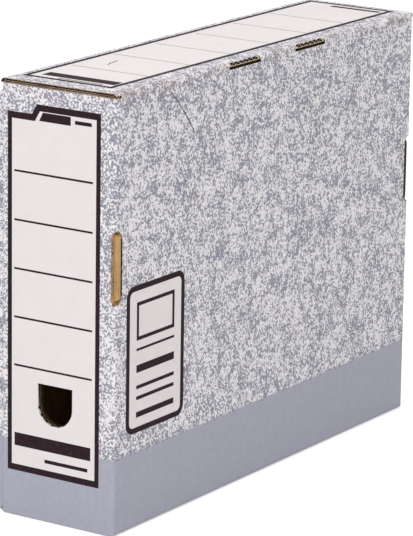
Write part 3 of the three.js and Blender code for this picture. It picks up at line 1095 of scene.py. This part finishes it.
class BOXFILE_OT_wear(bpy.types.Operator):
    """Add the thin scratch on the large side and the opened flute at the top corner"""

    bl_idname = "box_file.wear"
    bl_label = "Add the wear"

    def execute(self, context):
        self.scratch()
        self.opened_flute()
        return {"FINISHED"}

    def scratch(self):
        bm = bmesh.new()
        points = []
        for i in range(SCRATCH_STEPS + 1):
            share = i / SCRATCH_STEPS
            bow = SCRATCH_BOW * math.sin(math.pi * share)
            height = SCRATCH_TOP - SCRATCH_FALL * share + bow
            points.append(SIDE.at(SCRATCH_START + SCRATCH_RUN * share, height))
        add_band(bm, points, SIDE.normal, (0, SCRATCH_WIDE), Vector((0, 1, 0)), INK_HIGH)
        finished("side_scratch", bm, (scratch_mark,), TRAY)

    def opened_flute(self):
        bm = bmesh.new()
        middle = SIDE_X - ROLL_X - BOARD * LOOP_SHARE, TOP_Z - BOARD * LOOP_SHARE
        add_eye(bm, SPINE, middle, LOOP_RADII, LOOP_STEPS)
        # Painted shade: the dark strip and the dark discs stand for the shadow inside the opened
        # flutes.
        for slot, (low, high, length) in ((1, TEAR_PALE), (0, TEAR_DARK)):
            strip = box_outline(TEAR_START, TEAR_Z + low, length, TEAR_Z + high)
            add_plate(bm, SIDE, strip, INK_HIGH, slot)
        add_eye(bm, SIDE, (TEAR_SPOT, TEAR_Z), SPOT_RADII, SPOT_STEPS)
        finished("corner_flute_loop", bm, (painted_shade, liner_edge), TRAY)


class BOXFILE_OT_spine_label(bpy.types.Operator):
    """Print the spine's label: border with an index step, ground, rules and plain bars"""

    bl_idname = "box_file.spine_label"
    bl_label = "Print the spine label"

    def execute(self, context):
        labels, _ = settings()
        ground = bmesh.new()
        hole = thumb_outline(-ROLL_X, HOLE_SPARE)
        add_plate(ground, SPINE, self.outline(labels, 0.6), GROUND_HIGH, 0, [hole])
        finished("spine_label_ground", ground, (label_ground,), TRAY)
        lines = bmesh.new()
        add_ring(lines, SPINE, self.outline(labels, 0), self.outline(labels, 1), INK_HIGH)
        for outline in (*self.rules(labels), *self.bars(labels)):
            add_plate(lines, SPINE, outline, INK_HIGH)
        finished("spine_label_lines", lines, (border_ink,), TRAY)
        return {"FINISHED"}

    def outline(self, labels, share):
        """The label's outline, moved in by a share of its border."""
        inset, drop = share * labels.border, share * labels.border_level
        left, right = labels.spine_left + inset, labels.spine_right - inset
        low, high = labels.spine_bottom + drop, labels.spine_top - drop
        step_u = labels.spine_left + TAB_STEP + drop * TAB_BEND
        tab = high + labels.index_tab
        return [
            (left, low),
            (right, low),
            (right, tab),
            (step_u + TAB_SLOPE, tab),
            (step_u, high),
            (left, high),
        ]

    def rules(self, labels):
        """The ruled lines, from the top down."""
        left = labels.spine_left + RULE_FROM_LEFT
        right = labels.spine_right - RULE_FROM_RIGHT
        heights = [labels.rule_top - i * labels.rule_pitch for i in range(labels.rules)]
        return [box_outline(left, v, right, v + labels.rule) for v in heights]

    def bars(self, labels):
        """The slanted bar and the short one in the tab, and the bars at the foot."""
        left, right = labels.spine_left, labels.spine_right
        start = left + TAB_STEP + TAB_SLOPE
        low = labels.spine_top + labels.index_tab - labels.border_level - TAB_BAR_DROP
        high = low + TAB_BAR_HIGH
        slanted = [
            (start + TAB_BAR_START, low),
            (start + TAB_BAR_END, low),
            (start + TAB_BAR_END, high),
            (start + TAB_BAR_START + TAB_BAR_SLANT, high),
        ]
        short_low = low + SHORT_BAR_RISE
        short_right = right - SHORT_BAR_FROM_RIGHT
        short_high = short_low + SHORT_BAR_HIGH
        short = box_outline(start + SHORT_BAR_START, short_low, short_right, short_high)
        foot = [box_outline(left + a, bottom, right - b, top) for a, bottom, b, top in FOOT_BARS]
        return [slanted, *foot, short]


class BOXFILE_OT_side_sign(bpy.types.Operator):
    """Print the rounded panel on the large side, with plain bars in its field"""

    bl_idname = "box_file.side_sign"
    bl_label = "Print the side sign"

    def execute(self, context):
        labels, _ = settings()
        edge = (labels.sign_front, labels.sign_bottom, labels.sign_rear, labels.sign_top)
        wide = labels.sign_border

        def inset(by):
            radius = max(labels.sign_corner - by, SIGN_LEAST_RADIUS)
            return round_outline(edge[0] + by, edge[1] + by, edge[2] - by, edge[3] - by, radius)

        ground = bmesh.new()
        add_plate(ground, SIDE, inset(wide * 0.5), GROUND_HIGH)
        finished("side_sign_ground", ground, (label_ground,), TRAY)
        lines = bmesh.new()
        add_ring(lines, SIDE, inset(0), inset(wide), INK_HIGH)
        field_left = edge[0] + wide + SIGN_MARGIN
        field_right = edge[2] - wide - SIGN_MARGIN
        for share, thick in SIGN_BARS:
            v = edge[1] + wide + share * (edge[3] - edge[1] - 2 * wide)
            add_plate(lines, SIDE, box_outline(field_left, v, field_right, v + thick), INK_HIGH)
        frame_low = edge[3] - wide - SIGN_FRAME_DROP
        frame_high = edge[3] - wide - SIGN_MARGIN
        outer = box_outline(field_left, frame_low, field_right, frame_high)
        inner = box_outline(
            field_left + SIGN_FRAME_LINE,
            frame_low + SIGN_FRAME_LINE,
            field_right - SIGN_FRAME_LINE,
            frame_high - SIGN_FRAME_LINE,
        )
        add_ring(lines, SIDE, outer, inner, INK_HIGH)
        finished("side_sign_lines", lines, (border_ink,), TRAY)
        return {"FINISHED"}


class BOXFILE_OT_top_label(bpy.types.Operator):
    """Print the long label on the top with its cross lines"""

    bl_idname = "box_file.top_label"
    bl_label = "Print the top label"

    def execute(self, context):
        labels, _ = settings()
        left, right = labels.top_left, labels.top_right
        front, rear = labels.top_front, labels.top_rear
        outer, middle, inner = [
            box_outline(left + inset, front + inset, right - inset, rear - inset)
            for inset in (0, TOP_BORDER / 2, TOP_BORDER)
        ]
        ground = bmesh.new()
        add_plate(ground, TOP, middle, GROUND_HIGH)
        finished("top_label_ground", ground, (label_ground,), TRAY)
        lines = bmesh.new()
        add_ring(lines, TOP, outer, inner, INK_HIGH)
        for a, near, b, far in FRONT_BARS:
            add_plate(lines, TOP, box_outline(left + a, front + near, right - b, front + far), INK_HIGH)
        add_plate(lines, TOP, [(u * MM, v * MM) for u, v in PEN_STROKE], INK_HIGH)
        a, near, b, far = REAR_BAR
        add_plate(lines, TOP, box_outline(left + a, rear - near, right - b, rear - far), INK_HIGH)
        finished("top_label_lines", lines, (border_ink,), TRAY)
        thin = bmesh.new()
        line_left, line_right = left + TOP_RULE_FROM_LEFT, right - TOP_RULE_FROM_RIGHT
        for i in range(TOP_RULES):
            v = front + TOP_RULE_START + i * TOP_RULE_PITCH
            line = box_outline(line_left, v, line_right, v + TOP_RULE_WIDE)
            add_plate(thin, TOP, line, INK_HIGH)
        finished("top_label_cross_lines", thin, (grey_rule,), TRAY)
        return {"FINISHED"}


class BOXFILE_OT_flutes(bpy.types.Operator):
    """Fray the outer liner and the fluted paper along the top's raw front and rear edges"""

    bl_idname = "box_file.flutes"
    bl_label = "Fray the raw edges"

    def execute(self, context):
        bm = bmesh.new()
        along, down = Vector((1, 0, 0)), Vector((0, 0, -1))
        run = SIDE_X - BOARD - ROLL_AXIS_X
        for end, (y, outward) in enumerate(((FRONT_Y, -1), (REAR_Y, 1))):
            normal = Vector((0, outward, 0))
            start = Vector((ROLL_AXIS_X, y, TOP_Z))
            for row, depth in enumerate(FRINGE_DEPTHS):
                add_fringe(bm, start, along, run, down, normal, depth, 7 * end + row)
        finished("frayed_edges", bm, (liner_edge,), TRAY)
        return {"FINISHED"}


class BOXFILE_OT_thumb_rim(bpy.types.Operator):
    """Line the thumb hole with the cut edge of the outer liner, torn round its lower half"""

    bl_idname = "box_file.thumb_rim"
    bl_label = "Line the thumb hole"

    def execute(self, context):
        bm = bmesh.new()
        draw = random.Random(RIM_SEED)
        outline = thumb_outline(0.0)
        rim = []
        for x, z in [*outline, outline[0]]:
            inward = Vector((-x, 0, THUMB_CENTRE + RIM_RISE - z)).normalized()
            deep = draw.uniform(*RIM_TORN) if z < THUMB_CENTRE + RIM_RISE else RIM_CLEAN
            rim.append((Vector((x, FRONT_Y + RIM_INSET, z)), inward, deep))
        for first, second in zip(rim, rim[1:]):
            corners = []
            for high in (SUNK, RIM_HIGH):
                corners += [point + inward * high for point, inward, _ in (first, second)]
                for point, inward, deep in (second, first):
                    corners.append(point + inward * high + Vector((0, deep, 0)))
            made = [bm.verts.new(corner) for corner in corners]
            for ring in BRICK:
                bm.faces.new([made[i] for i in ring])
        bmesh.ops.remove_doubles(bm, verts=bm.verts, dist=WELD)
        finished("thumb_hole_rim", bm, (label_ground,), TRAY)
        return {"FINISHED"}


class BOXFILE_OT_stage(bpy.types.Operator):
    """Set the floor, the soft studio light and the photograph's camera"""

    bl_idname = "box_file.stage"
    bl_label = "Set the stage"

    def execute(self, context):
        stage = context.scene.box_file_stage
        self.floor()
        self.world(stage)
        self.lamps(stage)
        self.camera(stage)
        context.scene.view_settings.view_transform = "Standard"
        return {"FINISHED"}

    def floor(self):
        bm = bmesh.new()
        bmesh.ops.create_grid(bm, x_segments=8, y_segments=8, size=FLOOR_HALF)
        mesh = bpy.data.meshes.new("floor")
        bm.to_mesh(mesh)
        bm.free()
        floor = bpy.data.objects.new("floor", mesh)
        floor.location.z = -FLOOR_DROP
        bpy.context.collection.objects.link(floor)
        finish, tree, surface = shader("pale_floor", 0.9, 0.1)
        surface.inputs["Base Color"].default_value = FLOOR_WHITE
        surface.inputs["Emission Color"].default_value = WHITE
        rays = node(tree, "ShaderNodeLightPath")
        lift = product(tree, rays.outputs["Is Camera Ray"], FLOOR_LIFT)
        tree.links.new(lift, surface.inputs["Emission Strength"])
        mesh.materials.append(finish)

    def world(self, stage):
        world = bpy.data.worlds.new("studio")
        world.use_nodes = True
        tree = world.node_tree
        background = tree.nodes["Background"]
        background.inputs["Color"].default_value = WHITE
        rays = node(tree, "ShaderNodeLightPath").outputs
        seen = calculate(tree, "MAXIMUM", rays["Is Camera Ray"], rays["Is Glossy Ray"])
        seen = calculate(tree, "MAXIMUM", seen, rays["Is Transmission Ray"])
        strength = node(tree, "ShaderNodeMapRange")
        tree.links.new(seen, strength.inputs["Value"])
        strength.inputs["To Min"].default_value = stage.sky
        strength.inputs["To Max"].default_value = 1.0
        tree.links.new(strength.outputs["Result"], background.inputs["Strength"])
        bpy.context.scene.world = world

    def lamps(self, stage):
        middle = Vector((0, 0, TOP_Z / 2))
        for name, spot, size, share in LAMPS:
            data = bpy.data.lights.new(name, "AREA")
            data.size = size
            data.energy = stage.key * share
            lamp = bpy.data.objects.new(name, data)
            lamp.location = spot
            lamp.rotation_euler = (middle - lamp.location).to_track_quat("-Z", "Y").to_euler()
            bpy.context.collection.objects.link(lamp)

    def camera(self, stage):
        azimuth, elevation = stage.azimuth, stage.elevation
        right = Vector((math.cos(azimuth), math.sin(azimuth), 0))
        forward = Vector((
            -math.sin(azimuth) * math.cos(elevation),
            math.cos(azimuth) * math.cos(elevation),
            -math.sin(elevation),
        ))
        up = right.cross(forward)
        aim = Vector((0, 0, TOP_Z / 2)) + right * AIM_RIGHT + up * AIM_UP
        turned_right = right * math.cos(stage.roll) + up * math.sin(stage.roll)
        turned_up = up * math.cos(stage.roll) - right * math.sin(stage.roll)
        data = bpy.data.cameras.new("camera")
        data.lens = stage.lens
        data.sensor_width = SENSOR_MM
        data.sensor_fit = "AUTO"
        data.clip_end = VIEW_REACH
        camera = bpy.data.objects.new("camera", data)
        turn = Matrix((turned_right, turned_up, -forward)).transposed().to_4x4()
        camera.matrix_world = Matrix.Translation(aim - forward * stage.distance) @ turn
        bpy.context.collection.objects.link(camera)
        bpy.context.scene.camera = camera


ORDER = (
    BOXFILE_OT_stage,
    BOXFILE_OT_tray,
    BOXFILE_OT_lid,
    BOXFILE_OT_spine_label,
    BOXFILE_OT_side_sign,
    BOXFILE_OT_top_label,
    BOXFILE_OT_flutes,
    BOXFILE_OT_thumb_rim,
    BOXFILE_OT_lid_ends,
    BOXFILE_OT_wear,
    BOXFILE_OT_slot_ends,
)


class BOXFILE_PT_panel(bpy.types.Panel):
    """Buttons and sizes of the box file"""

    bl_label = "Box File"
    bl_idname = "BOXFILE_PT_panel"
    bl_space_type = "VIEW_3D"
    bl_region_type = "UI"
    bl_category = "Box File"

    def draw(self, context):
        layout = self.layout
        for step in ORDER:
            layout.operator(step.bl_idname)
        for group in (
            context.scene.box_file_labels,
            context.scene.box_file_finish,
            context.scene.box_file_stage,
        ):
            box = layout.box()
            for name in group.bl_rna.properties.keys():
                if name not in ("rna_type", "name"):
                    box.prop(group, name)


CLASSES = (BoxFileLabels, BoxFileFinish, BoxFileStage, *ORDER, BOXFILE_PT_panel)


def register():
    for cls in CLASSES:
        bpy.utils.register_class(cls)
    bpy.types.Scene.box_file_labels = PointerProperty(type=BoxFileLabels)
    bpy.types.Scene.box_file_finish = PointerProperty(type=BoxFileFinish)
    bpy.types.Scene.box_file_stage = PointerProperty(type=BoxFileStage)


def unregister():
    del bpy.types.Scene.box_file_stage
    del bpy.types.Scene.box_file_finish
    del bpy.types.Scene.box_file_labels
    for cls in reversed(CLASSES):
        bpy.utils.unregister_class(cls)


def main():
    register()
    for step in ORDER:
        group, name = step.bl_idname.split(".")
        getattr(getattr(bpy.ops, group), name)()


if __name__ == "__main__":
    main()
